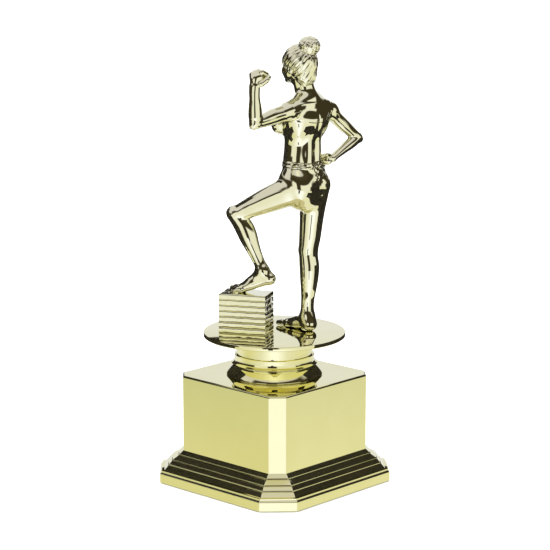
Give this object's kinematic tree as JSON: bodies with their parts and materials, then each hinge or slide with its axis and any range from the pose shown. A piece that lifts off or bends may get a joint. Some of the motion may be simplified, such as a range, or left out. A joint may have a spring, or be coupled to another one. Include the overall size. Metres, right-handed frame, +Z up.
{
  "type": "figure trophy",
  "caption": "Gold-plated trophy of a posed athlete with one foot on a ribbed step, on a round plate, flared collar and chamfered square plinth with a stepped skirt.",
  "frame": {"origin": "centre of the resting surface, under the tie rod", "axes": "+Z up, -Y the way that the figure faces, +X the figure's left"},
  "size_m": [0.08, 0.08, 0.1891],
  "materials": {
    "plated_gold": "gloss",
    "zinc_steel": "satin",
    "cast_filling": "matte",
    "base_board": "matte",
    "brass": "satin",
    "pad_rubber": "matte"
  },
  "bodies": {
    "root": {"skirt_shell": "plated_gold", "plinth_shell": "plated_gold", "collar": "plated_gold", "figure_plate": "plated_gold", "step_block": "plated_gold", "figure": "plated_gold", "hex_nut": "zinc_steel", "lock_washer": "zinc_steel", "plate_washer": "zinc_steel", "tie_rod": "zinc_steel", "cover_screw_1": "zinc_steel", "cover_screw_2": "zinc_steel", "cover_screw_3": "zinc_steel", "cover_screw_4": "zinc_steel", "ballast": "cast_filling", "bottom_cover": "base_board", "threaded_insert": "brass", "foot_pad_1": "pad_rubber", "foot_pad_2": "pad_rubber", "foot_pad_3": "pad_rubber", "foot_pad_4": "pad_rubber"}
  },
  "joints": []
}
